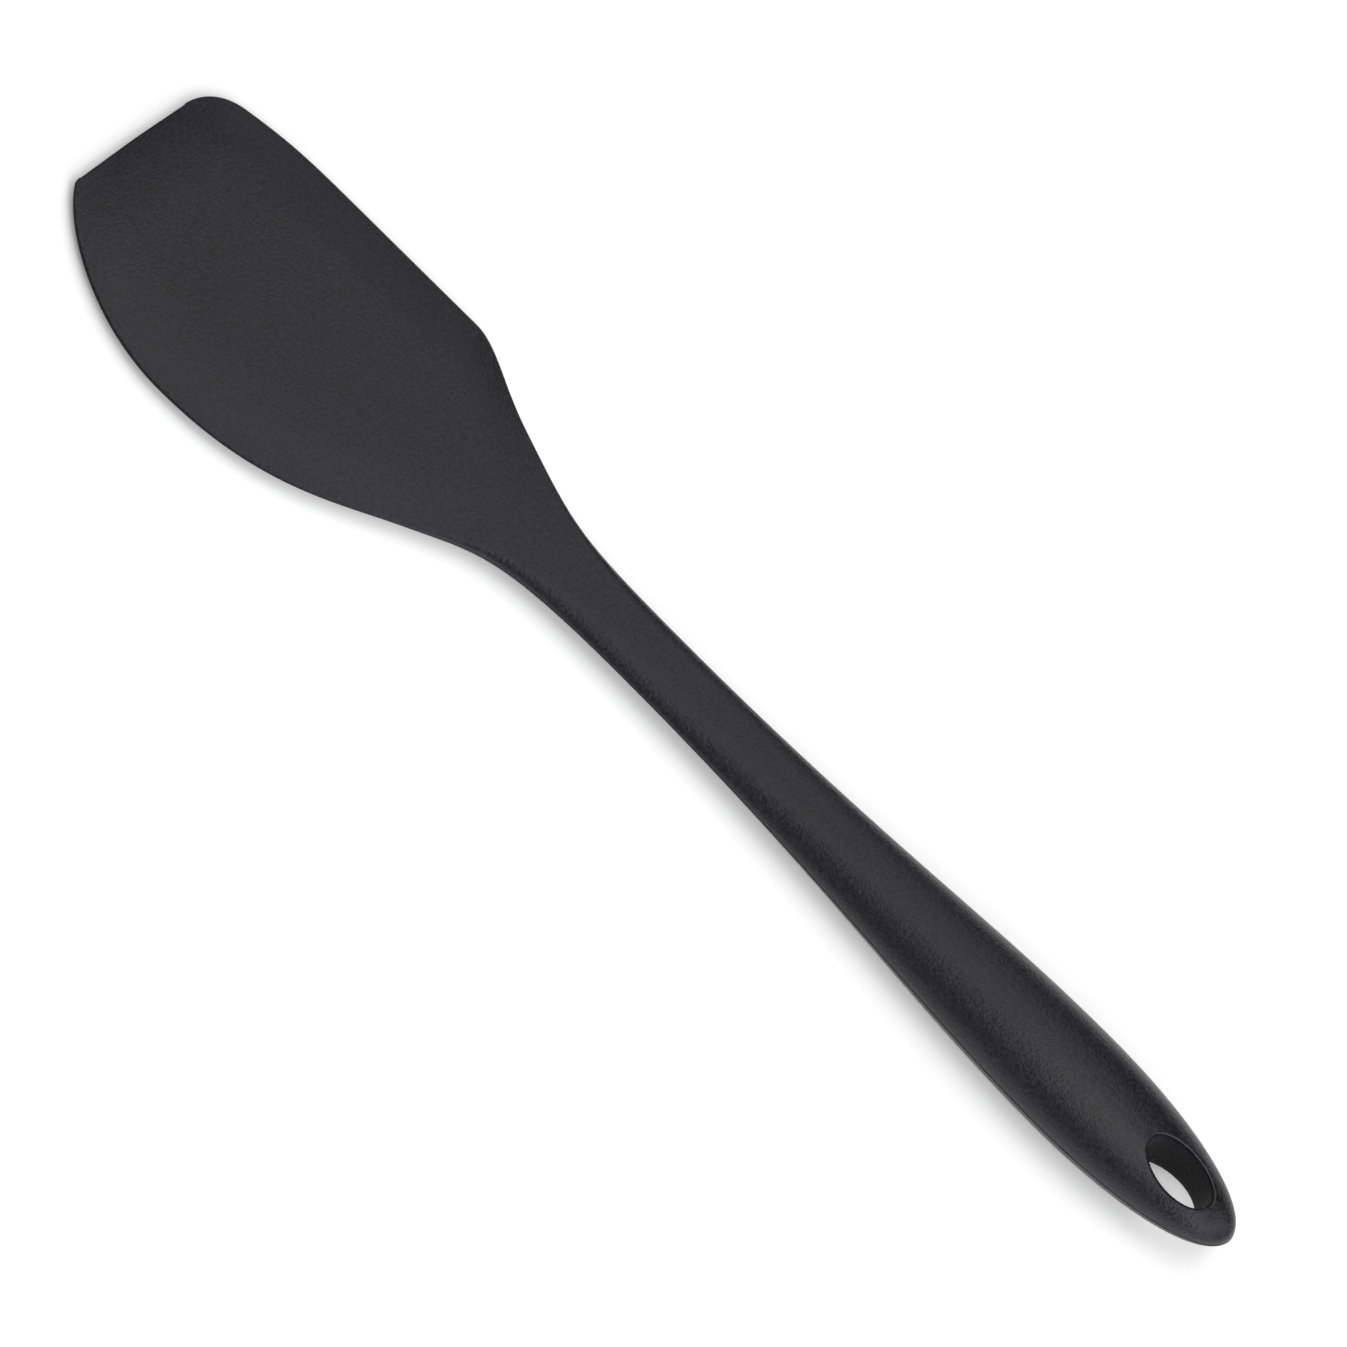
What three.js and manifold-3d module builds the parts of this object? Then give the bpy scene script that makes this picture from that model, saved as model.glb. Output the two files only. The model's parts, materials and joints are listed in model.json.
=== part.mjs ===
// Silicone spatula: a stiff nylon core inside a soft skin, which is parted at its mould line.
// Millimetres. X runs from the tip of the blade to the butt of the grip, Y across it, Z out of its front.

import * as THREE from "three";
import { mergeVertices } from "three/addons/utils/BufferGeometryUtils.js";
import Module from "manifold-3d";

const { clamp, lerp, smoothstep } = THREE.MathUtils;
const wasm = await Module();
wasm.setup();

// Outline, seen from the front
const LENGTH = 280;
const TIP_AT = 1.9; // where the tip edge crosses the centre line
const TIP_SLANT = 0.163; // how far the tip edge runs back, per millimetre across
const TIP_CORNER = 8; // rounded corner on the straight side
const BELLY_CORNER = 14; // from the centre line to the corner on the curved side
const CORNER_BLUNT = 0.7; // how much that corner is blunted
const SPINE_REACH = 21.9; // from the centre line to the straight side
const SHOULDER_AT = 68.7;
const BELLY_REACH = 31.7; // from the centre line to the curved side
const BELLY_AT = 36.5;
const NECK_AT = 134;
const NECK_WIDTH = 13.3;
const GRIP_AT = 240;
const GRIP_WIDTH = 21.9;
const BUTT_FLAT = 1.6;

// Profile, seen from the side
const BLADE_THICKNESS = 4.2;
const EDGE_THICKNESS = 0.6; // left all round the blade
const TIP_BEVEL = 14;
const BELLY_BEVEL = 16;
const SPINE_BEVEL = 11;
const ROOT_AT = 112; // where the bevels have run out and the sides are as thick as the middle
const NECK_THICKNESS = 4.8;
const NECK_ROLL = 3; // width of the rounding on each side of the neck
const ROUND_AT = 205; // where the neck has become a round grip
const GRIP_THICKNESS = 17.5;

// Hanging hole
const HOLE_LENGTH = 15.8;
const HOLE_WIDTH = 8.5;
const HOLE_FROM_BUTT = 15;

// Core
const FLEX_MARGIN = 10; // bare silicone round the paddle, so that the edge of the blade bends
const PADDLE_ROUND = 8;
const SIDE_WALL = 2.2;
const FACE_WALL = 1.3;
const BAR_WIDTH = 13;
const BAR_THICKNESS = 8;
const CORE_ROUND = 1.5;
const EYE_LINING = 1.3; // silicone between the hole and the eye
const EYE_RING = 1.5;
const EYE_THICKNESS = 4.4;
const KEY_HOLE = 5;

// Fits
const CLEARANCE = 0.3; // core to silicone
const PARTING = 0.3; // front skin to back skin

const HOLE_AT = LENGTH - HOLE_FROM_BUTT;
const PADDLE_AT = TIP_AT + FLEX_MARGIN;
const EYE_AT = HOLE_AT - HOLE_LENGTH / 2 - EYE_LINING;
const SKIN_POINTS = 40; // points round a cross-section
const CORE_POINTS = 20;

// Adds a curve that leaves and arrives at the given slopes, and keeps to each for a length along X.
function bend(path, slope, run, x, y, endSlope, endRun) {
  const from = path.currentPoint;
  const leave = [from.x + run, from.y + slope * run];
  return path.bezierCurveTo(...leave, x - endRun, y - endSlope * endRun, x, y);
}

// Takes a curve from the neck to the butt, by way of the thickest part of the grip, and samples it.
// It stays level with the neck for a share of the stem, and is blunt at the butt for a share of the grip.
function withGrip(path, level, grip, blunt, end) {
  const stem = GRIP_AT - NECK_AT;
  bend(path, 0, level * stem, GRIP_AT, grip, 0, 0.3 * stem);
  path.bezierCurveTo(lerp(GRIP_AT, LENGTH, 0.6), grip, LENGTH, blunt * grip, LENGTH, end);
  return path.getSpacedPoints(900);
}

// Straight side: slanted tip, rounded corner, shoulder, and a hollow curve into the neck.
function spineEdge() {
  const start = SPINE_REACH - TIP_CORNER;
  const tip = TIP_AT + TIP_SLANT * start;
  const side = tip + 1.09 * TIP_CORNER;
  const flank = NECK_AT - SHOULDER_AT;
  const neck = NECK_WIDTH / 2;
  const path = new THREE.Path().moveTo(tip, start);
  bend(path, 1 / TIP_SLANT, 0.065 * TIP_CORNER, side, start + 0.72 * TIP_CORNER, 0.19, 0.52 * TIP_CORNER);
  bend(path, 0.19, TIP_CORNER, lerp(side, SHOULDER_AT, 0.38), 0.982 * SPINE_REACH, 0.015, TIP_CORNER);
  path.lineTo(SHOULDER_AT, SPINE_REACH);
  const drop = lerp(neck, SPINE_REACH, 0.48);
  bend(path, 0.01, 0.08 * flank, SHOULDER_AT + 0.3 * flank, drop, -0.38, 0.13 * flank);
  bend(path, -0.38, 0.28 * flank, NECK_AT, neck, 0, 0.4 * flank);
  return withGrip(path, 0.5, GRIP_WIDTH / 2, 0.5, BUTT_FLAT / 2);
}

// Curved side: blunt corner at the tip, full belly, and a hollow curve into the neck.
function bellyEdge() {
  const tip = TIP_AT - TIP_SLANT * BELLY_CORNER;
  const blunt = CORNER_BLUNT;
  const flank = NECK_AT - BELLY_AT;
  const neck = NECK_WIDTH / 2;
  const path = new THREE.Path().moveTo(tip + TIP_SLANT * blunt, BELLY_CORNER - blunt);
  path.quadraticCurveTo(tip, BELLY_CORNER, tip + blunt / 1.8, BELLY_CORNER + blunt);
  bend(path, 1.8, 0.128 * BELLY_AT, BELLY_AT, BELLY_REACH, 0, 0.44 * BELLY_AT);
  const drop = lerp(neck, BELLY_REACH, 0.365);
  bend(path, 0, 0.257 * flank, BELLY_AT + 0.508 * flank, drop, -0.527, 0.132 * flank);
  bend(path, -0.527, 0.128 * flank, NECK_AT, neck, 0, 0.343 * flank);
  return withGrip(path, 0.5, GRIP_WIDTH / 2, 0.5, BUTT_FLAT / 2);
}

// Half the thickness on the centre line, from the shoulder to the butt.
function sideProfile() {
  const flank = NECK_AT - SHOULDER_AT;
  const path = new THREE.Path().moveTo(SHOULDER_AT, BLADE_THICKNESS / 2);
  bend(path, 0, 0.35 * flank, NECK_AT, NECK_THICKNESS / 2, 0, 0.45 * flank);
  return withGrip(path, 0.28, GRIP_THICKNESS / 2, 0.65, 0.4 * BUTT_FLAT);
}

const SPINE = spineEdge();
const BELLY = bellyEdge();
const PROFILE = sideProfile();

// Height of a curve where it meets the line x = at + lean * height.
function heightAt(curve, at, lean = 0) {
  const ahead = (point) => point.x - lean * point.y - at;
  const found = curve.findIndex((point) => ahead(point) >= 0);
  const next = found < 0 ? curve.length - 1 : Math.max(1, found);
  const [a, b] = [curve[next - 1], curve[next]];
  return lerp(a.y, b.y, clamp(ahead(a) / (ahead(a) - ahead(b)), 0, 1));
}

// Cross-sections lie along the slanted edge at the tip, and square across from the belly on.
const leanAt = (s) => TIP_SLANT * (1 - smoothstep(s, TIP_AT, BELLY_AT));
const spineAt = (s) => heightAt(SPINE, s, leanAt(s));
const bellyAt = (s) => heightAt(BELLY, s, -leanAt(s));

// How full a face is: 0 on an edge, 1 from the given width inside it.
const fullness = (inside, width) => 1 - clamp(1 - inside / width, 0, 1) ** 2;

// Half the thickness at the sides, and on the centre line, which thins over a bevel at the tip.
const flankAt = (s) => smoothstep(s, SHOULDER_AT, NECK_AT);
const centreAt = (s) => (s < SHOULDER_AT ? BLADE_THICKNESS / 2 : heightAt(PROFILE, s));
const edgeAt = (s) => lerp(EDGE_THICKNESS / 2, centreAt(s), smoothstep(s, SHOULDER_AT, ROOT_AT));
const riseAt = (s) => lerp(edgeAt(s), centreAt(s), fullness(s - TIP_AT, TIP_BEVEL));

// Width of the rounding at the sides: next to none on the blade, a roll at the neck, all of the grip.
function rollAt(s, reach) {
  const roll = lerp(EDGE_THICKNESS / 2, NECK_ROLL, flankAt(s) ** 2);
  return lerp(roll, reach, smoothstep(s, NECK_AT, ROUND_AT));
}

function skinSection(s) {
  const sides = [[bellyAt(s), BELLY_BEVEL], [spineAt(s), SPINE_BEVEL]].map(([reach, bevel]) => {
    return { reach, bevel: Math.min(reach, bevel), roll: rollAt(s, reach) };
  });
  return ring(SKIN_POINTS, s, sides, edgeAt(s), riseAt(s));
}

// Paddle in the blade, bar in the neck and grip, narrowing to the eye.
function coreSection(s, grow) {
  const blend = smoothstep(s, GRIP_AT, EYE_AT);
  const bar = lerp(BAR_WIDTH, HOLE_WIDTH, blend) / 2;
  const corner = PADDLE_ROUND * (1 - Math.sqrt(fullness(s + grow - PADDLE_AT, PADDLE_ROUND)));
  const inset = (reach) => Math.max(reach - FLEX_MARGIN, Math.min(reach - SIDE_WALL, bar)) - corner + grow;
  const rise = grow + Math.min(riseAt(s) - FACE_WALL, lerp(BAR_THICKNESS, EYE_THICKNESS, blend) / 2);
  const sides = [bellyAt(s), spineAt(s)].map((reach) => {
    return { reach: inset(reach), bevel: CORE_ROUND, roll: CORE_ROUND };
  });
  return ring(CORE_POINTS, s, sides, rise, rise);
}

// Points round one cross-section: belly edge, front face, spine edge, back face.
function ring(count, s, sides, edge, rise) {
  return Array.from({ length: count }, (_, i) => {
    const turn = (2 * Math.PI * i) / count;
    const across = -Math.cos(turn);
    const { reach, bevel, roll } = sides[across < 0 ? 0 : 1];
    const y = across * reach;
    const inside = reach - Math.abs(y);
    const face = lerp(edge, rise, fullness(inside, bevel)) * Math.sqrt(fullness(inside, roll));
    return new THREE.Vector3(s + leanAt(s) * y, y, Math.sign(Math.sin(turn)) * face);
  });
}

// Closed solid through the rings at the given stations.
function loft(stations, section) {
  const rings = stations.map(section);
  const ends = [stations[0], stations.at(-1)].map((s) => new THREE.Vector3(s, 0, 0));
  const points = [...rings.flat(), ...ends];
  const count = rings[0].length;
  const last = count * (rings.length - 1);
  const faces = [];
  for (let i = 0; i < count; i++) {
    const j = (i + 1) % count;
    for (let row = 0; row < last; row += count) {
      faces.push(row + i, row + count + j, row + j);
      faces.push(row + i, row + count + i, row + count + j);
    }
    faces.push(points.length - 2, i, j);
    faces.push(points.length - 1, last + j, last + i);
  }
  return solid(new THREE.BufferGeometry().setFromPoints(points).setIndex(faces));
}

function solid(geometry) {
  geometry.deleteAttribute("normal");
  geometry.deleteAttribute("uv");
  const merged = mergeVertices(geometry);
  const vertProperties = merged.getAttribute("position").array;
  const triVerts = new Uint32Array(merged.index.array);
  return new wasm.Manifold(new wasm.Mesh({ numProp: 3, vertProperties, triVerts }));
}

// Upright oval round the axis of the hanging hole.
function oval(border, height) {
  const shape = new THREE.Shape();
  shape.absellipse(HOLE_AT, 0, HOLE_LENGTH / 2 + border, HOLE_WIDTH / 2 + border, 0, 2 * Math.PI);
  const straight = { depth: height, bevelEnabled: false, curveSegments: 36 };
  return solid(new THREE.ExtrudeGeometry(shape, straight).translate(0, 0, -height / 2));
}

function spread(from, to, count) {
  return Array.from({ length: count }, (_, i) => lerp(from, to, i / (count - 1)));
}

// Stations along X, close together where the tip and the butt round off
const STATIONS = [
  ...spread(0, 1, 11).slice(0, -1).map((part) => TIP_AT + TIP_BEVEL * part ** 2),
  ...spread(TIP_AT + TIP_BEVEL, GRIP_AT, 47).slice(0, -1),
  ...spread(1, 0, 14).map((part) => LENGTH - (LENGTH - GRIP_AT) * part ** 2),
];

// Holes through the core that the silicone fills: pairs in the paddle, one at its root, a row in the grip.
function keyPlaces() {
  const pairs = spread(PADDLE_AT + 1.5 * FLEX_MARGIN, SHOULDER_AT - FLEX_MARGIN / 2, 3);
  const root = lerp(SHOULDER_AT, NECK_AT, 0.2);
  const row = spread(NECK_AT + 4 * KEY_HOLE, GRIP_AT, 6);
  return [
    ...pairs.flatMap((x) => [[x, SPINE_REACH / 4], [x, -BELLY_REACH / 3]]),
    ...[root, ...row].map((x) => [x, 0]),
  ];
}

// The core, or with a clearance all round it the hollow that it lies in.
function core(grow) {
  const round = spread(0, 1, 6).map((part) => PADDLE_AT - grow + PADDLE_ROUND * part ** 2);
  const bar = STATIONS.filter((s, i) => i % 2 && s > PADDLE_AT + PADDLE_ROUND && s < EYE_AT);
  const eye = oval(EYE_LINING + EYE_RING + grow, EYE_THICKNESS + 2 * grow);
  let body = loft([...round, ...bar, EYE_AT + grow], (s) => coreSection(s, grow)).add(eye);
  body = body.subtract(oval(EYE_LINING - grow, GRIP_THICKNESS));
  for (const [x, y] of keyPlaces()) {
    const peg = new THREE.CylinderGeometry(KEY_HOLE / 2 - grow, KEY_HOLE / 2 - grow, GRIP_THICKNESS, 16);
    body = body.subtract(solid(peg.rotateX(Math.PI / 2).translate(x, y, 0)));
  }
  return body;
}

// One half of the skin, on the front (side 1) or the back (side -1) of the mould line.
function skin(side) {
  const height = GRIP_THICKNESS;
  const half = new THREE.BoxGeometry(3 * LENGTH, LENGTH, height);
  return loft(STATIONS, skinSection)
    .subtract(oval(0, 2 * height))
    .subtract(core(CLEARANCE))
    .intersect(solid(half.translate(0, 0, side * (height + PARTING) / 2)));
}

function piece(name, made, material) {
  const { vertProperties, triVerts } = made.getMesh();
  const geometry = new THREE.BufferGeometry();
  geometry.setAttribute("position", new THREE.BufferAttribute(vertProperties, 3));
  geometry.setIndex(new THREE.BufferAttribute(triVerts, 1));
  geometry.computeVertexNormals();
  const mesh = new THREE.Mesh(geometry, new THREE.MeshStandardMaterial(material));
  mesh.name = name;
  return mesh;
}

// Tilt at which the blade and the grip touch a table together.
function restTilt() {
  const lowest = (tilt, from, to) => Math.min(...STATIONS
    .filter((s) => s >= from && s <= to)
    .map((s) => s * Math.sin(tilt) - riseAt(s) * Math.cos(tilt)));
  let [low, high] = [0, 0.2];
  for (let i = 0; i < 40; i++) {
    const tilt = (low + high) / 2;
    if (lowest(tilt, 0, NECK_AT) > lowest(tilt, NECK_AT, LENGTH)) low = tilt;
    else high = tilt;
  }
  return low;
}

const SILICONE = { color: 0x2c2c2e, roughness: 0.6, metalness: 0 };
const NYLON = { color: 0xcfcabc, roughness: 0.5, metalness: 0 };

const tool = new THREE.Group();
tool.add(piece("stiffening_core", core(0), NYLON));
tool.add(piece("front_skin", skin(1), SILICONE));
tool.add(piece("back_skin", skin(-1), SILICONE));
tool.rotation.y = -restTilt();

// The origin is under the middle of the spatula, on the table.
const spatula = new THREE.Group().add(tool);
const box = new THREE.Box3().setFromObject(spatula, true);
const middle = box.getCenter(new THREE.Vector3());
tool.position.set(-middle.x, -middle.y, -box.min.z);

export default spatula;
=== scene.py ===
# A silicone spatula on a white table: the hidden core, the silicone moulded over it, and the mould's line.
# The tool frame runs along X from the tip to the butt, with Y across and Z out of the front of the blade.
import json
import math

import bmesh
import bpy
from mathutils import Matrix, Vector
from mathutils.bvhtree import BVHTree


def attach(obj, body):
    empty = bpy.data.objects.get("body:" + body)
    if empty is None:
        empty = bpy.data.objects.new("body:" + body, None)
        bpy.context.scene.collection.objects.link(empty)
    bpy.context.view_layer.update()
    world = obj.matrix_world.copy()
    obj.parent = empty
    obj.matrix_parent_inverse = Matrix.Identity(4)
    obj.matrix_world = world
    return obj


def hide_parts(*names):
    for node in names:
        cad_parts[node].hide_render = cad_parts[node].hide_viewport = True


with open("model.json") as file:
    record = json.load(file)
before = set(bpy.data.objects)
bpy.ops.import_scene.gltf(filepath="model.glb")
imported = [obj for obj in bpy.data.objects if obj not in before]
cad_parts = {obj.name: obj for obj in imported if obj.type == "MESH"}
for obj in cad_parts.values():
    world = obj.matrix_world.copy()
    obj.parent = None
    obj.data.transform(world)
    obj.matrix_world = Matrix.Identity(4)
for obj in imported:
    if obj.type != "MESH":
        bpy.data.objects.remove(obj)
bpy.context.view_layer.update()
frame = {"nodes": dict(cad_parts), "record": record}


# Stiffening core
# A paddle, a bar and an eye in one shot of glass-filled nylon, with holes that the silicone grips.
# The silicone closes over all of it, so it keeps the solid's own shape and only takes its finish.
NYLON = (0.62, 0.59, 0.50, 1.0)
NYLON_STREAK = (0.54, 0.51, 0.42, 1.0)
NYLON_GRAIN = 0.0004
NYLON_CLOUD = 0.006
NYLON_FLECK = (0.95, 1.05)
NYLON_ROUGHNESS = (0.42, 0.58)
NYLON_RELIEF = 0.00004
NOISE_DARK, NOISE_LIGHT = 0.3, 0.7  # most of a noise lies between these


def add_node(tree, kind, inputs=(), **settings):
    """A new node with its settings, and its inputs set to values or linked to sockets."""
    node = tree.nodes.new(kind)
    for name, value in settings.items():
        setattr(node, name, value)
    for key, value in dict(inputs).items():
        if isinstance(value, bpy.types.NodeSocket):
            tree.links.new(value, node.inputs[key])
        else:
            node.inputs[key].default_value = value
    return node


def moulded_surface():
    """Shader group for what comes out of a mould: a fine eroded grain and broad cloudy patches."""
    group = bpy.data.node_groups.new("moulded surface", "ShaderNodeTree")
    for name, kind in (("Place", "Vector"), ("Grain Size", "Float"), ("Cloud Size", "Float")):
        group.interface.new_socket(name, in_out="INPUT", socket_type="NodeSocket" + kind)
    for name in ("Grain", "Cloud"):
        group.interface.new_socket(name, in_out="OUTPUT", socket_type="NodeSocketFloat")
    given = add_node(group, "NodeGroupInput").outputs
    result = add_node(group, "NodeGroupOutput")
    noises = (("Grain", 2.0, 0.55), ("Cloud", 3.0, 0.5))  # name, detail and roughness of the noise
    for name, detail, roughness in noises:
        scale = add_node(group, "ShaderNodeMath", {0: 1.0, 1: given[name + " Size"]}, operation="DIVIDE")
        inputs = {"Vector": given["Place"], "Scale": scale.outputs[0], "Detail": detail, "Roughness": roughness}
        noise = add_node(group, "ShaderNodeTexNoise", inputs)
        group.links.new(noise.outputs["Fac"], result.inputs[name])
    return group


MOULDED_SURFACE = moulded_surface()


def spread(tree, factor, low, high):
    """A number that runs from low to high as the middle of a noise does from dark to light."""
    inputs = {"Value": factor, "From Min": NOISE_DARK, "From Max": NOISE_LIGHT, "To Min": low, "To Max": high}
    return add_node(tree, "ShaderNodeMapRange", inputs).outputs[0]


def moulded_material(name, colours, grain_size, cloud_size, fleck, roughness, relief, **shader):
    """A moulded plastic or rubber: two close colours in clouds, with a grain in colour, gloss and relief."""
    material = bpy.data.materials.new(name)
    material.use_nodes = True
    tree = material.node_tree
    place = add_node(tree, "ShaderNodeTexCoord").outputs["Object"]
    sizes = {"Place": place, "Grain Size": grain_size, "Cloud Size": cloud_size}
    surface = add_node(tree, "ShaderNodeGroup", sizes, node_tree=MOULDED_SURFACE).outputs
    grain, cloud = surface["Grain"], surface["Cloud"]
    clouds = {"Factor": spread(tree, cloud, 0.0, 1.0), "A": colours[0], "B": colours[1]}
    clouded = add_node(tree, "ShaderNodeMix", clouds, data_type="RGBA").outputs["Result"]
    flecks = {"Factor": 1.0, "A": clouded, "B": spread(tree, grain, *fleck)}
    flecked = add_node(tree, "ShaderNodeMix", flecks, data_type="RGBA", blend_type="MULTIPLY")
    principled = tree.nodes["Principled BSDF"]
    tree.links.new(flecked.outputs["Result"], principled.inputs["Base Color"])
    tree.links.new(spread(tree, grain, *roughness), principled.inputs["Roughness"])
    bump = add_node(tree, "ShaderNodeBump", {"Height": grain, "Distance": relief, "Strength": 1.0})
    tree.links.new(bump.outputs["Normal"], principled.inputs["Normal"])
    for key, value in shader.items():
        principled.inputs[key].default_value = value
    return material


core = frame["nodes"]["stiffening_core"]
nylon = moulded_material(
    "glass-filled nylon",
    (NYLON, NYLON_STREAK),
    NYLON_GRAIN,
    NYLON_CLOUD,
    NYLON_FLECK,
    NYLON_ROUGHNESS,
    NYLON_RELIEF,
)
core.data.materials.clear()
core.data.materials.append(nylon)


# Silicone body
# One shot of black food-grade silicone, moulded over the core with the fine matt finish of an eroded tool.
# A thin blade with a straight side and a full belly runs through a flat neck into a round grip with a hole.
MM = 0.001
LENGTH = 280
TIP_AT, STRAIGHT_SLANT, BELLY_SLANT = 1.9, 0.163, 0.131
STRAIGHT_REACH, SHOULDER_AT = 21.9, 68.7
BELLY_REACH, BELLY_AT = 31.5, 36.5
NECK_AT, NECK_WIDTH, NECK_THICKNESS = 134, 13.3, 4.8
STRAIGHT_ROLL, BELLY_ROLL = 3, 6.2
ROOT_AT, ROUND_AT = 112, 205
GRIP_AT, GRIP_WIDTH, GRIP_THICKNESS = 240, 21.9, 17.5
BLADE_THICKNESS, EDGE_THICKNESS = 4.2, 0.6
TIP_BEVEL, BELLY_BEVEL, STRAIGHT_BEVEL = 14, 16, 11
HOLE_AT, HOLE_ASIDE, HOLE_LENGTH, HOLE_WIDTH, HOLE_RIM = 265, -0.4, 15.8, 8.5, 0.6

SILICONE = (0.0076, 0.0074, 0.0093, 1.0)
SILICONE_PALE = (0.0089, 0.0087, 0.0109, 1.0)
SILICONE_GRAIN = 0.0006
SILICONE_CLOUD = 0.014
SILICONE_FLECK = (0.2, 1.8)
SILICONE_ROUGHNESS = (0.30, 0.38)
SILICONE_RELIEF = 0.00013
SILICONE_IOR = 1.42
# The last two are shares of the sheen, added to it: a painted highlight on the far rim, painted shade on the
# near rim and the hole's wall.
SHEEN, RIM_PAINTED_HIGHLIGHT, WALL_PAINTED_SHADE = 0.42, 1.1, -0.92
STATIONS, TURNS = 261, 193
SIDE_STEPS = 64

# Each side is a run of knots in millimetres: a place (along, out), the handle into it and the handle out of it.
NECK = ((NECK_AT, NECK_WIDTH / 2), (-26, 0), (53, 0))
STRAIGHT_KNOTS = (
    ((3.83, 11.82), (0, 0), (0.57, 3.5)),
    ((12.03, 19.49), (-4.9, -0.89), (8.84, 1.6)),
    ((34.1, 21.5), (-8, -0.12), (8, 0.1)),
    ((SHOULDER_AT, STRAIGHT_REACH), (-8, -0.1), (5.22, 0.05)),
    ((88.3, 13.97), (-8.49, 3.23), (18.3, -6.95)),
    NECK,
    ((GRIP_AT, GRIP_WIDTH / 2), (-31.8, 0), (23.5, 0)),
    ((LENGTH, 0), (0, 6.24), (0, 0)),
)
BELLY_KNOTS = (
    ((0.17, 13.2), (0, 0), (-0.066, 0.5)),
    ((0.39, 14.69), (-0.276, -0.452), (4.81, 7.89)),
    ((BELLY_AT, BELLY_REACH), (-15.74, 0), (25.2, 0)),
    ((86.03, 15.79), (-12.87, 6.78), (12.48, -6.58)),
    (NECK[0], (-33.4, 0), NECK[2]),
    ((GRIP_AT, GRIP_WIDTH / 2), (-31.8, 0), (23.5, 0)),
    ((LENGTH, 0), (0, 6.24), (0, 0)),
)
PROFILE_KNOTS = (
    ((0, BLADE_THICKNESS / 2), (0, 0), (20, 0)),
    ((SHOULDER_AT, BLADE_THICKNESS / 2), (-20, 0), (22.9, 0)),
    ((NECK_AT, NECK_THICKNESS / 2), (-29.4, 0), (30, 0)),
    ((GRIP_AT, GRIP_THICKNESS / 2), (-31.8, 0), (23.5, 0)),
    ((LENGTH, 0), (0, 6.2), (0, 0)),
)


def side_curve(name, knots, out):
    """A curve through the knots, in metres, that reaches out from the centre line along the given axis."""
    curve = bpy.data.curves.new(name, "CURVE")
    curve.dimensions = "3D"
    curve.resolution_u = SIDE_STEPS
    spline = curve.splines.new("BEZIER")
    spline.bezier_points.add(len(knots) - 1)
    axes = Vector((1, 0, 0)), Vector(out)
    for point, ((along, reach), before, after) in zip(spline.bezier_points, knots):
        point.handle_left_type = point.handle_right_type = "FREE"
        place = (along * axes[0] + reach * axes[1]) * MM
        point.co = place
        point.handle_left = place + (before[0] * axes[0] + before[1] * axes[1]) * MM
        point.handle_right = place + (after[0] * axes[0] + after[1] * axes[1]) * MM
    return bpy.data.objects.new(name, curve)


class Field:
    """A number at each point of a node tree. Arithmetic with it adds math nodes to the tree."""

    def __init__(self, socket):
        self.socket = socket

    def maths(self, operation, *others):
        values = [getattr(v, "socket", v) for v in (self, *others)]
        node = add_node(self.socket.id_data, "ShaderNodeMath", enumerate(values), operation=operation)
        return Field(node.outputs[0])

    def __add__(self, other):
        return self.maths("ADD", other)

    def __sub__(self, other):
        return self.maths("SUBTRACT", other)

    def __mul__(self, other):
        return self.maths("MULTIPLY", other)

    def __truediv__(self, other):
        return self.maths("DIVIDE", other)

    def __pow__(self, other):
        return self.maths("POWER", other)

    def to(self, other, share):
        """This field where share is 0, the other where it is 1."""
        return self + (other - self) * share

    def step(self, start, end):
        """Smooth step from 0 at start to 1 at end."""
        inputs = {"Value": self.socket, "From Min": start.socket, "From Max": end.socket}
        tree = self.socket.id_data
        return Field(add_node(tree, "ShaderNodeMapRange", inputs, interpolation_type="SMOOTHSTEP").outputs[0])


def new_tree(name, inputs):
    """A geometry node tree with named inputs, its input fields and its output node."""
    tree = bpy.data.node_groups.new(name, "GeometryNodeTree")
    tree.interface.new_socket("Geometry", in_out="OUTPUT", socket_type="NodeSocketGeometry")
    kinds = {float: "Float", int: "Int", bpy.types.Object: "Object", bpy.types.Material: "Material"}
    for key, value in inputs.items():
        tree.interface.new_socket(key, in_out="INPUT", socket_type="NodeSocket" + kinds[type(value)])
    given = add_node(tree, "NodeGroupInput").outputs
    return tree, {key: Field(given[key]) for key in inputs}, add_node(tree, "NodeGroupOutput")


def grow(name, tree, inputs):
    """A new object with the plain mesh that the tree makes from these inputs."""
    piece = bpy.data.objects.new(name, bpy.data.meshes.new(name))
    bpy.context.scene.collection.objects.link(piece)
    modifier = piece.modifiers.new(name, "NODES")
    modifier.node_group = tree
    for key, value in inputs.items():
        modifier[tree.interface.items_tree[key].identifier] = value
    scene = bpy.context.evaluated_depsgraph_get()
    mesh = bpy.data.meshes.new_from_object(piece.evaluated_get(scene), depsgraph=scene)
    piece.modifiers.clear()
    piece.data = mesh
    return piece


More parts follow.
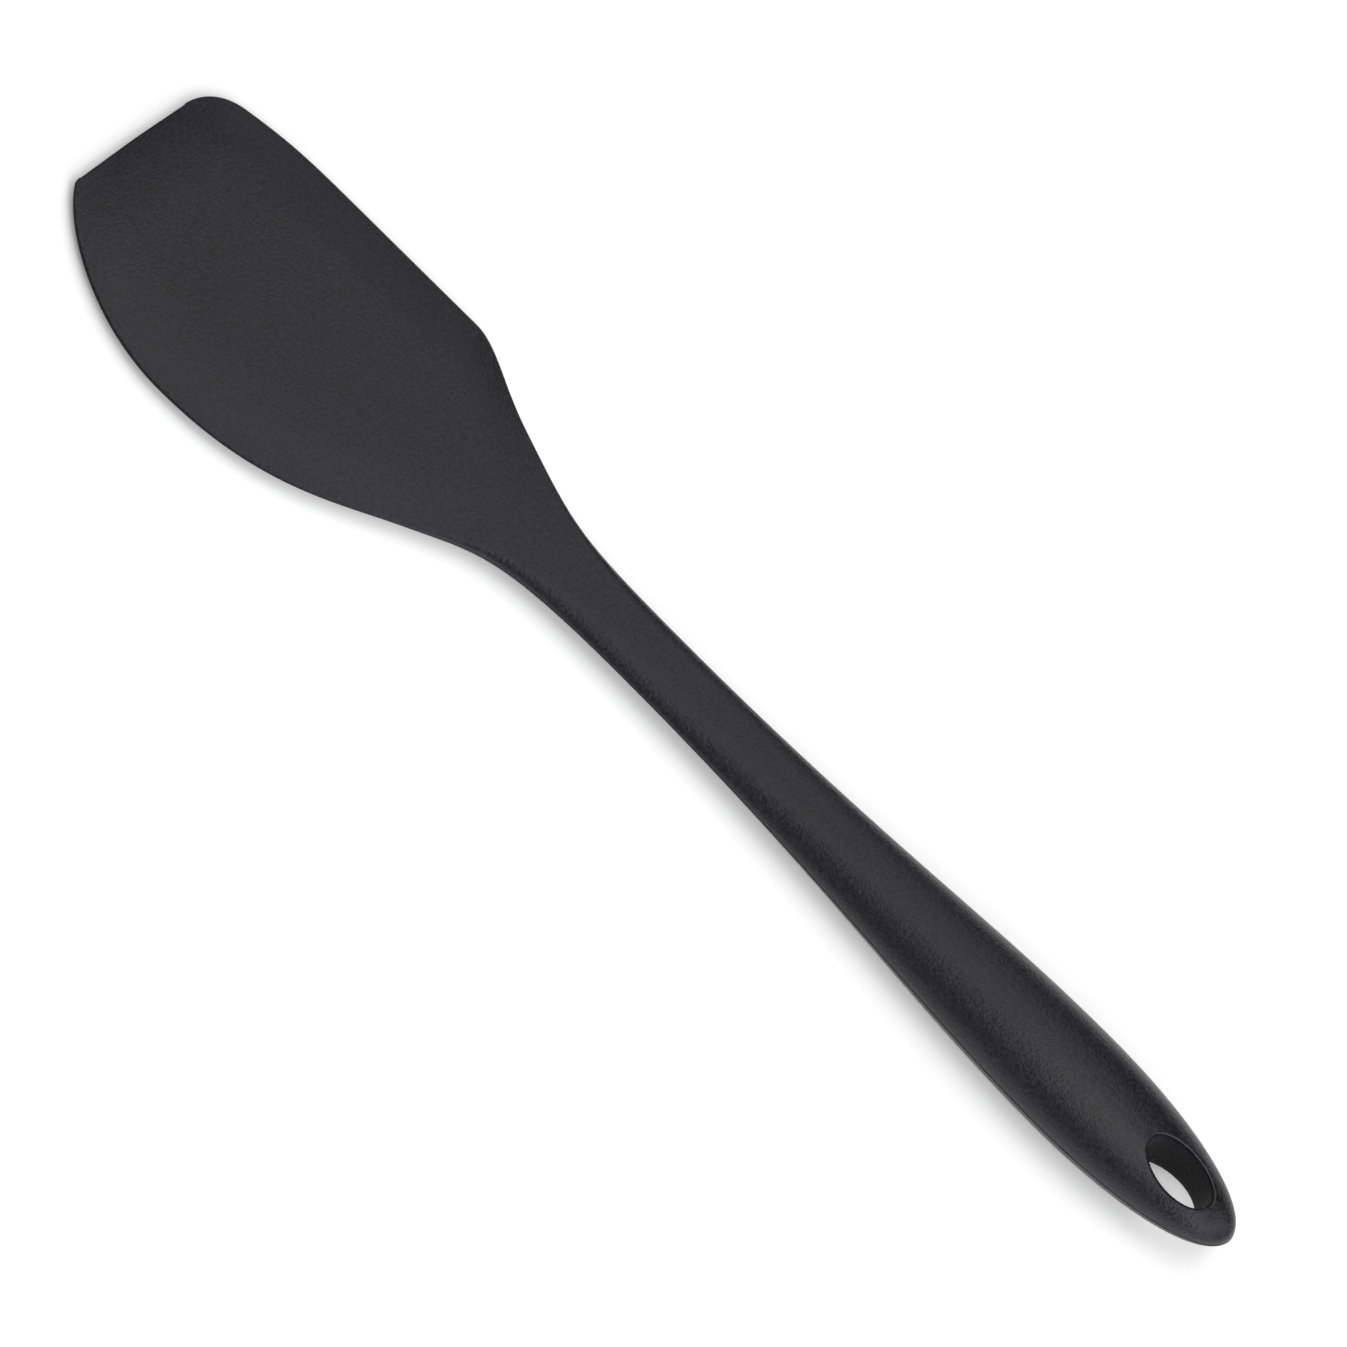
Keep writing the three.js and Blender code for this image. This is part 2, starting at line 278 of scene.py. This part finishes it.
def moulded_body(inputs):
    """Tree of the body: a grid of stations along the tool and turns round it, laid out to the three sides."""
    hair = 5e-6  # the first and last stations stay this far inside the ends
    end_share = 1e-5  # of the run, at the tip and at the butt, where the two faces close
    touching = 5e-7  # points nearer than this become one
    strip = 0.002  # height of the strip that a side curve is made into, for the rays to hit
    tree, size, result = new_tree("moulded body", inputs)

    def xyz(*parts):
        values = [getattr(v, "socket", v) for v in parts]
        return add_node(tree, "ShaderNodeCombineXYZ", enumerate(values)).outputs[0]

    def split(vector):
        return [Field(s) for s in add_node(tree, "ShaderNodeSeparateXYZ", {0: vector}).outputs]

    rows = {"Size X": 1.0, "Size Y": 1.0}
    rows |= {"Vertices X": size["Stations"].socket, "Vertices Y": size["Turns"].socket}
    grid = add_node(tree, "GeometryNodeMeshGrid", rows).outputs["Mesh"]
    place = add_node(tree, "GeometryNodeInputPosition").outputs[0]
    run, turn, _ = [part + 0.5 for part in split(place)]

    # Stations crowd towards the tip and the butt, and those near the tip lean with its slant.
    crowded = (run * math.pi).maths("COSINE") * -0.5 + 0.5
    station = size["Tip At"] + hair + (size["Length"] - size["Tip At"] - 2 * hair) * crowded
    angle = turn * (2 * math.pi)
    across = angle.maths("COSINE") * -1
    to_belly = across.maths("LESS_THAN", 0.0)
    slant = size["Straight Slant"].to(size["Belly Slant"], to_belly)
    lean = slant * (station.step(size["Tip At"], size["Slant Ends"]) * -1 + 1)
    flank = station.step(size["Shoulder At"], size["Neck At"])
    rounding = station.step(size["Neck At"], size["Round At"])
    open_tip = run.maths("GREATER_THAN", end_share)
    open_butt = run.maths("LESS_THAN", 1 - end_share)

    def reach(side, aim, axis):
        """How far out a side curve lies, seen from the centre line."""
        curve = add_node(tree, "GeometryNodeObjectInfo", {"Object": size[side].socket}).outputs["Geometry"]
        line = add_node(tree, "GeometryNodeCurveToMesh", {"Curve": curve}).outputs["Mesh"]
        upright = (0.0, strip, 0.0) if axis == 2 else (0.0, 0.0, strip)
        lowered = {"Geometry": line, "Translation": [-v / 2 for v in upright]}
        lowered = add_node(tree, "GeometryNodeTransform", lowered).outputs[0]
        wall = {"Mesh": lowered, "Offset": xyz(*upright)}
        wall = add_node(tree, "GeometryNodeExtrudeMesh", wall, mode="EDGES").outputs["Mesh"]
        ray = {"Target Geometry": wall, "Source Position": xyz(station, 0.0, 0.0), "Ray Direction": aim}
        hit = add_node(tree, "GeometryNodeRaycast", ray).outputs["Hit Position"]
        return split(hit)[axis].maths("ABSOLUTE")

    straight = reach("Straight Side", xyz(lean, 1.0, 0.0), 1)
    belly = reach("Belly Side", xyz(lean * -1, -1.0, 0.0), 1)
    rise = reach("Profile", xyz(0.0, 0.0, 1.0), 2)

    # Across a station, the face is flat, thins over a bevel, and rolls over into the edge.
    side = straight.to(belly, to_belly)
    bevel = size["Straight Bevel"].to(size["Belly Bevel"], to_belly).maths("MINIMUM", side)
    edge = size["Edge"].to(rise, station.step(size["Shoulder At"], size["Root At"]))
    neck_roll = size["Straight Roll"].to(size["Belly Roll"], to_belly)
    roll = size["Edge"].to(neck_roll, flank * flank).to(side, rounding)
    y = across * side * open_butt
    from_side = side - y.maths("ABSOLUTE")
    from_tip = station - size["Tip At"]

    def fall(distance, width):
        """Squared height, from 0 on an edge to 1 at the given width from it."""
        short = (distance / width * -1 + 1).maths("MAXIMUM", 0.0)
        return short * short * -1 + 1

    face = edge.to(rise, fall(from_side, bevel) * fall(from_tip, size["Tip Bevel"]))
    rolled = (fall(from_side, roll) * fall(from_tip, size["Edge"])) ** 0.5
    z = angle.maths("SINE").maths("SIGN") * face * rolled * open_tip * open_butt

    named = {"Geometry": grid, "Name": "across", "Value": across.socket}
    body = add_node(tree, "GeometryNodeStoreNamedAttribute", named).outputs[0]
    moved = {"Geometry": body, "Position": xyz(station + lean * y, y, z)}
    body = add_node(tree, "GeometryNodeSetPosition", moved).outputs[0]
    merged = {"Geometry": body, "Distance": touching}
    body = add_node(tree, "GeometryNodeMergeByDistance", merged).outputs[0]
    body = add_node(tree, "GeometryNodeSetShadeSmooth", {"Geometry": body}).outputs[0]
    body = add_node(tree, "GeometryNodeRealizeInstances", {"Geometry": body}).outputs[0]
    finish = {"Geometry": body, "Material": size["Material"].socket}
    tree.links.new(add_node(tree, "GeometryNodeSetMaterial", finish).outputs[0], result.inputs[0])
    return tree


def cut_hanging_hole(mesh):
    """Swaps a block of both faces for rings that close in on the hole, round over its rim and line its wall."""
    block_before, block_behind, block_across = 11 * MM, 10.2 * MM, 0.66
    rings, rim_steps, wall_steps = 6, 5, 8
    wall_from = rings + 2  # the rim's painted highlight or shade covers two of its steps, and the wall's painted shade begins here
    middle, aside, rim = HOLE_AT * MM, HOLE_ASIDE * MM, HOLE_RIM * MM
    half_length, half_width = HOLE_LENGTH / 2 * MM, HOLE_WIDTH / 2 * MM
    body = bmesh.new()
    body.from_mesh(mesh)
    surface = BVHTree.FromBMesh(body)
    painted_hole_light = body.verts.layers.float.new("painted hole light")
    across = body.verts.layers.float["across"]

    def in_block(vert):
        return -block_before < vert.co.x - middle < block_behind and abs(vert[across]) < block_across

    block = [face for face in body.faces if all(in_block(vert) for vert in face.verts)]
    finish = block[0].material_index
    bmesh.ops.delete(body, geom=block, context="FACES")

    def oval(angle, out):
        return middle + (half_length + out) * math.cos(angle), aside + (half_width + out) * math.sin(angle)

    def height(x, y):
        return surface.ray_cast(Vector((x, y, 1)), Vector((0, 0, -1)))[0].z

    edge = {v for e in body.edges if e.is_boundary for v in e.verts}
    mates = {(round(v.co.x, 6), round(v.co.y, 6)): v for v in edge if v.co.z < 0}
    front = sorted((v for v in edge if v.co.z > 0), key=lambda v: math.atan2(v.co.y - aside, v.co.x - middle))
    columns = []
    for vert in front:
        x, y = vert.co.xy
        angle = math.atan2((y - aside) / half_width, (x - middle) / half_length)
        places = []
        for step in range(1, rings + 1):
            share = math.sin(step / rings * math.pi / 2)
            ends = zip((x, y), oval(angle, rim))
            places.append([*(a + (b - a) * share for a, b in ends), 0])
        for step in range(1, rim_steps + 1):
            bend = step / rim_steps * math.pi / 2
            places.append([*oval(angle, rim * (1 - math.sin(bend))), rim * (1 - math.cos(bend))])
        upper = [Vector((px, py, height(px, py) - drop)) for px, py, drop in places]
        lower = [Vector((p.x, p.y, -p.z)) for p in reversed(upper)]
        wall = [upper[-1].lerp(lower[0], step / wall_steps) for step in range(1, wall_steps)]
        column = [body.verts.new(p) for p in (*upper, *wall, *lower)]
        # Painted light in the sheen: a highlight on the far half of the rim, shade on its near half and on the
        # wall.
        outward = math.sin(angle)
        for rim_vert in (*column[rings:wall_from], *column[-wall_from:-rings]):
            rim_vert[painted_hole_light] = max(RIM_PAINTED_HIGHLIGHT * outward, -WALL_PAINTED_SHADE * outward)
        for wall_vert in column[wall_from:-wall_from]:
            wall_vert[painted_hole_light] = WALL_PAINTED_SHADE
        columns.append([vert, *column, mates[round(x, 6), round(y, 6)]])
    for left, right in zip(columns, columns[1:] + columns[:1]):
        for a, b, c, d in zip(left, left[1:], right[1:], right):
            face = body.faces.new((a, b, c, d))
            face.smooth, face.material_index = True, finish
    bmesh.ops.recalc_face_normals(body, faces=body.faces)
    body.verts.layers.float.remove(across)
    body.to_mesh(mesh)
    body.free()


silicone = moulded_material(
    "black silicone",
    (SILICONE, SILICONE_PALE),
    SILICONE_GRAIN,
    SILICONE_CLOUD,
    SILICONE_FLECK,
    SILICONE_ROUGHNESS,
    SILICONE_RELIEF,
    IOR=SILICONE_IOR,
)
# The mesh carries painted light as shares of the sheen: a highlight on the hole's far rim, shade on its near
# rim and wall.
skin = silicone.node_tree
gloss = skin.nodes["Principled BSDF"].inputs["Specular IOR Level"]
painted_light = add_node(skin, "ShaderNodeAttribute", attribute_name="painted hole light").outputs["Fac"]
scaled = add_node(skin, "ShaderNodeMath", {0: painted_light, 1: SHEEN, 2: SHEEN}, operation="MULTIPLY_ADD")
skin.links.new(scaled.outputs[0], gloss)
straight_side = side_curve("straight side", STRAIGHT_KNOTS, (0, 1, 0))
belly_side = side_curve("belly side", BELLY_KNOTS, (0, -1, 0))
profile = side_curve("profile", PROFILE_KNOTS, (0, 0, 1))
body_inputs = {
    "Straight Side": straight_side,
    "Belly Side": belly_side,
    "Profile": profile,
    "Length": LENGTH * MM,
    "Tip At": TIP_AT * MM,
    "Straight Slant": STRAIGHT_SLANT,
    "Belly Slant": BELLY_SLANT,
    "Slant Ends": BELLY_AT * MM,
    "Edge": EDGE_THICKNESS / 2 * MM,
    "Tip Bevel": TIP_BEVEL * MM,
    "Straight Bevel": STRAIGHT_BEVEL * MM,
    "Belly Bevel": BELLY_BEVEL * MM,
    "Shoulder At": SHOULDER_AT * MM,
    "Root At": ROOT_AT * MM,
    "Neck At": NECK_AT * MM,
    "Straight Roll": STRAIGHT_ROLL * MM,
    "Belly Roll": BELLY_ROLL * MM,
    "Round At": ROUND_AT * MM,
    "Stations": STATIONS,
    "Turns": TURNS,
    "Material": silicone,
}
body = grow("silicone_body", moulded_body(body_inputs), body_inputs)
cut_hanging_hole(body.data)

# The record's hanging hole says how the tool frame lies: the grip is thick, so the tool is tilted on the table.
hole_mount = next(m for m in frame["record"]["mounts"] if m["name"] == "hanging_hole")
out = Vector(hole_mount["axis"])
along = Vector((out.z, 0, -out.x))
rest = Matrix((along, Vector((0, 1, 0)), out)).transposed().to_4x4()
rest.translation = Vector(hole_mount["pos_m"]) - along * HOLE_AT * MM
body.data.transform(rest)
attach(body, "root")
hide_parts("front_skin", "back_skin")


# Mould line
# The hair-thin bead of silicone that creeps between the two halves of the mould and is left after trimming.
# It runs along both edges of the body, from the corners of the tip to the butt.
BEAD_WIDTH = 0.22
BEAD_SIDES = 8


def mould_line(inputs):
    """Tree of the bead: a small round section swept along the two sides."""
    tree, size, result = new_tree("mould line", inputs)
    sides = add_node(tree, "GeometryNodeJoinGeometry")
    for side in ("Belly Side", "Straight Side"):
        curve = add_node(tree, "GeometryNodeObjectInfo", {"Object": size[side].socket}).outputs["Geometry"]
        tree.links.new(curve, sides.inputs[0])
    section = {"Resolution": BEAD_SIDES, "Radius": (size["Width"] / 2).socket}
    section = add_node(tree, "GeometryNodeCurvePrimitiveCircle", section).outputs["Curve"]
    swept = {"Curve": sides.outputs[0], "Profile Curve": section, "Fill Caps": True}
    bead = add_node(tree, "GeometryNodeCurveToMesh", swept).outputs["Mesh"]
    bead = add_node(tree, "GeometryNodeRealizeInstances", {"Geometry": bead}).outputs[0]
    finish = {"Geometry": bead, "Material": size["Material"].socket}
    tree.links.new(add_node(tree, "GeometryNodeSetMaterial", finish).outputs[0], result.inputs[0])
    return tree


bead_inputs = {
    "Straight Side": straight_side,
    "Belly Side": belly_side,
    "Width": BEAD_WIDTH * MM,
    "Material": silicone,
}
bead = grow("mould_line", mould_line(bead_inputs), bead_inputs)
bead.data.transform(rest)
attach(bead, "root")
for pattern in (straight_side, belly_side, profile):
    bpy.data.objects.remove(pattern)


# Table and light
# A plain white table with soft boxes above it, past the butt and on both sides, in faint pale surroundings.
# The boxes were set by the shading of the silicone, and the camera doesn't see them.
FLOOR_SIDE = 6.0
FLOOR = (0.95, 0.95, 0.95, 1.0)
FLOOR_LIFT = 0.15
SURROUNDINGS = 0.07
SOFT_BOXES = (
    # what it is, its width and height, where it stands, where it faces, and how bright it is
    ("long panel above", (0.84, 0.45), (-0.18, 0.125, 0.45), (0, 0, -1), 0.85),
    ("small panel above the blade", (0.15, 0.15), (-0.225, -0.025, 0.43), (0, 0, -1), 2.20),
    ("strip above the butt", (0.12, 0.50), (0.18, -0.20, 0.44), (0, 0, -1), 3.00),
    ("cross panel above", (0.39, 1.00), (0.045, 0.05, 0.46), (0, 0, -1), 0.58),
    ("tall box past the butt", (0.30, 1.37), (0.75, -0.65, 0.715), (-1, 0, 0), 4.70),
    ("wide box past the butt", (1.10, 0.75), (0.75, -0.05, 0.525), (-1, 0, 0), 1.70),
    ("panel on the far side", (0.70, 0.50), (-0.35, 0.80, 0.55), (0, -1, 0), 1.20),
    ("panel on the near side", (0.90, 0.50), (-0.10, -0.80, 0.31), (0, 1, 0), 0.45),
)


def direct_view(tree):
    """1 for what the camera sees, also in a reflection or through glass, and 0 for light that scatters."""
    path = add_node(tree, "ShaderNodeLightPath").outputs
    seen = path["Is Camera Ray"]
    for other in ("Is Glossy Ray", "Is Transmission Ray"):
        seen = add_node(tree, "ShaderNodeMath", {0: seen, 1: path[other]}, operation="MAXIMUM").outputs[0]
    return seen


def white_floor():
    """A matt white that the camera sees a little lifted, so that it stays white round the soft shadow."""
    material = bpy.data.materials.new("white table")
    material.use_nodes = True
    tree = material.node_tree
    tree.nodes.clear()
    matt = add_node(tree, "ShaderNodeBsdfDiffuse", {"Color": FLOOR})
    lift = add_node(tree, "ShaderNodeMath", {0: direct_view(tree), 1: FLOOR_LIFT}, operation="MULTIPLY")
    glow = add_node(tree, "ShaderNodeEmission", {"Strength": lift.outputs[0]})
    both = add_node(tree, "ShaderNodeAddShader", {0: matt.outputs[0], 1: glow.outputs[0]})
    add_node(tree, "ShaderNodeOutputMaterial", {"Surface": both.outputs[0]})
    return material


half = FLOOR_SIDE / 2
floor_mesh = bpy.data.meshes.new("floor")
corners = [(x * half, y * half, 0) for x, y in ((-1, -1), (1, -1), (1, 1), (-1, 1))]
floor_mesh.from_pydata(corners, [], [(0, 1, 2, 3)])
floor_mesh.materials.append(white_floor())
floor = bpy.data.objects.new("floor", floor_mesh)
bpy.context.scene.collection.objects.link(floor)

for name, size, place, facing, glow in SOFT_BOXES:
    lamp = bpy.data.lights.new(name, "AREA")
    lamp.shape = "RECTANGLE"
    lamp.size, lamp.size_y = size
    lamp.energy = glow * math.pi * size[0] * size[1]
    soft_box = bpy.data.objects.new(name, lamp)
    soft_box.location = place
    soft_box.rotation_euler = Vector(facing).to_track_quat("-Z", "Y").to_euler()
    soft_box.visible_camera = False
    bpy.context.scene.collection.objects.link(soft_box)

world = bpy.data.worlds.new("pale room")
world.use_nodes = True
world.node_tree.nodes["Background"].inputs["Color"].default_value = (1, 1, 1, 1)
world.node_tree.nodes["Background"].inputs["Strength"].default_value = SURROUNDINGS
bpy.context.scene.world = world


# Camera
# A long lens that looks down on the near side of the blade, rolled so that the tool lies corner to corner.
IMAGE_SIDE = 1347
TIP_PIXEL, BUTT_PIXEL = (127.2, 130.7), (1229.6, 1240.1)
LOOK_DOWN = math.radians(65)
LENS, SENSOR = 1000, 36

back = Vector((0, -math.cos(LOOK_DOWN), 0)) + out * math.sin(LOOK_DOWN)
level_up = back.cross(along)
run, drop = (b - a for a, b in zip(TIP_PIXEL, BUTT_PIXEL))
roll = math.atan2(drop, run)
pixel = LENGTH * MM / math.hypot(run, drop)
right = along * math.cos(roll) + level_up * math.sin(roll)
up = level_up * math.cos(roll) - along * math.sin(roll)
axis_middle = rest @ Vector((LENGTH / 2 * MM, 0, 0))
off_x, off_y = (IMAGE_SIDE / 2 - (a + b) / 2 for a, b in zip(TIP_PIXEL, BUTT_PIXEL))
centre = axis_middle + (right * off_x - up * off_y) * pixel

lens = bpy.data.cameras.new("camera")
lens.lens, lens.sensor_width = LENS, SENSOR
camera = bpy.data.objects.new("camera", lens)
camera.matrix_world = Matrix((right, up, back)).transposed().to_4x4()
camera.location = centre + back * (IMAGE_SIDE * pixel * LENS / SENSOR)
bpy.context.scene.collection.objects.link(camera)
bpy.context.scene.camera = camera
bpy.context.scene.view_settings.view_transform = "Standard"
